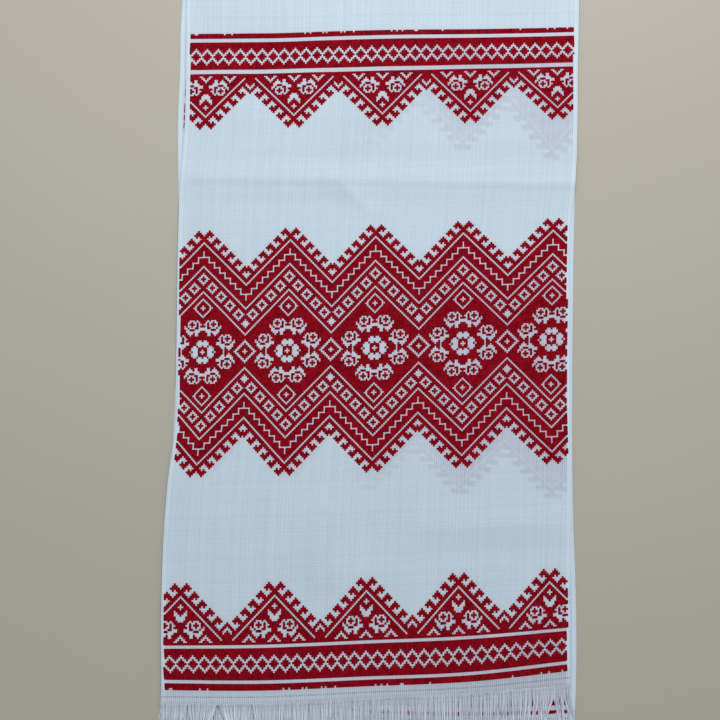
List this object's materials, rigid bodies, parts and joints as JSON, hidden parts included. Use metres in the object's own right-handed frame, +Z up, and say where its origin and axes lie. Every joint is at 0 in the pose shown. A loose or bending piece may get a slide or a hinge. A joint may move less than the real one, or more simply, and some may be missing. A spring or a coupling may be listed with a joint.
{
  "type": "rushnyk ritual towel",
  "caption": "Long narrow woven ritual towel, folded once across its middle and laid flat, with patterned bands near its ends and a fringe on each end.",
  "frame": {"origin": "on the floor, under the middle of the whole", "axes": "+X across the cloth, +Y along it from the fringes towards the fold, +Z up"},
  "size_m": [0.3724, 0.767, 0.006],
  "materials": {
    "towel_cloth": "plain-weave white cotton with dark red brocade bands",
    "fringe_cotton": "loose white cotton warp ends"
  },
  "bodies": {
    "root": {"towel": "towel_cloth", "fringe_upper": "fringe_cotton", "fringe_lower": "fringe_cotton"}
  },
  "joints": []
}
